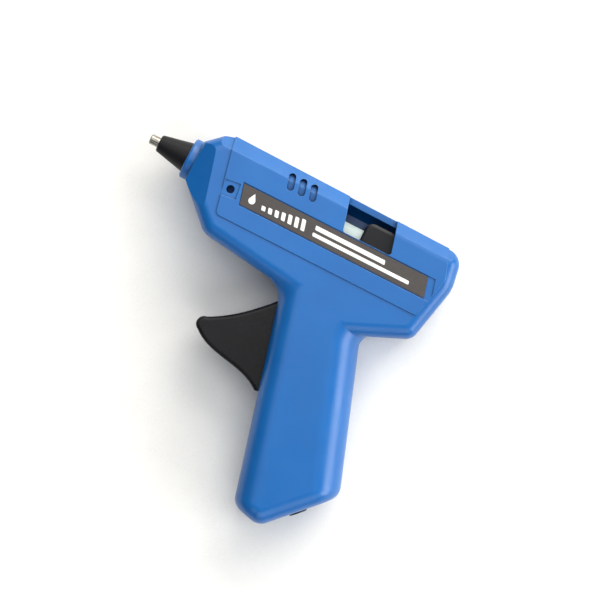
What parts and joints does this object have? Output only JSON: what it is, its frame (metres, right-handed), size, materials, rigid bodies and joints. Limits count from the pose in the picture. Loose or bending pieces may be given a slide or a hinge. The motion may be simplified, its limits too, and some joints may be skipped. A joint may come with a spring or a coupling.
{
  "type": "hot glue gun",
  "caption": "Small low-temperature hot glue gun with a finger trigger, sleeved nozzle, side viewing window and a feed carriage inside a two-part housing.",
  "frame": {"origin": "centre of the glue outlet, on the face of the nozzle tip", "axes": "+X back along the glue channel, from the nozzle to the stick inlet; +Y towards the top of the barrel, so the grip hangs to -Y; +Z out of the label side, so the tool lies on its plain side"},
  "size_m": [0.1209, 0.12, 0.026],
  "materials": {
    "blue_housing": "moulded ABS, glossy satin",
    "screw_steel": "zinc plated",
    "label_film": "printed film, satin",
    "nickel_nozzle": "turned and nickel plated",
    "black_silicone": "moulded silicone, satin",
    "cast_aluminium": "die cast",
    "ceramic": "sintered ceramic",
    "brass": "stamped strip",
    "polyimide": "amber film",
    "spring_steel": "drawn wire",
    "white_silicone": "moulded silicone",
    "black_nylon": "moulded, satin",
    "pin_steel": "ground",
    "jaw_steel": "stamped",
    "black_trigger": "moulded, satin",
    "lead_brown": "insulated flex",
    "lead_blue": "insulated flex",
    "clear_nylon": "moulded nylon",
    "black_rubber": "moulded"
  },
  "bodies": {
    "housing": {"left_shell": "blue_housing", "right_shell": "blue_housing", "shell_screws": "screw_steel", "label": "label_film", "nozzle": "nickel_nozzle", "nozzle_sleeve": "black_silicone", "heater_barrel": "cast_aluminium", "ptc_element": "ceramic", "contact_plate_upper": "brass", "contact_plate_lower": "brass", "ptc_film": "polyimide", "heater_clip": "spring_steel", "feed_sleeve": "white_silicone", "sleeve_clip": "spring_steel", "return_spring": "spring_steel", "trigger_pin": "pin_steel", "lead_live": "lead_brown", "lead_neutral": "lead_blue", "crimp_caps": "clear_nylon", "cord_gland": "black_rubber"},
    "carriage": {"feed_carriage": "black_nylon", "drive_pin": "pin_steel", "jaw_pin": "pin_steel"},
    "jaw": {"clamp_jaw": "jaw_steel"},
    "trigger": {"trigger": "black_trigger"}
  },
  "joints": [
    {"name": "trigger_pull", "type": "hinge", "parent": "housing", "child": "trigger", "pos_m": [0.081, -0.026, 0], "axis": [0, 0, 1], "range_deg": [0, 22], "stiffness_Nm_per_rad": 0.25, "springref_deg": -14.32},
    {"name": "carriage_feed", "type": "slide", "parent": "housing", "child": "carriage", "axis": [-1, 0, 0], "range_m": [0, 0.0072], "deforming": ["return_spring"]},
    {"name": "jaw_grip", "type": "hinge", "parent": "carriage", "child": "jaw", "pos_m": [0.096, -0.0082, 0], "axis": [0, 0, -1], "range_deg": [0, 12.2]}
  ],
  "couplings": [
    {"joint": "carriage_feed", "follows": "trigger_pull", "m_per_rad": 0.018224},
    {"joint": "jaw_grip", "follows": "trigger_pull", "ratio": 0.54545}
  ]
}
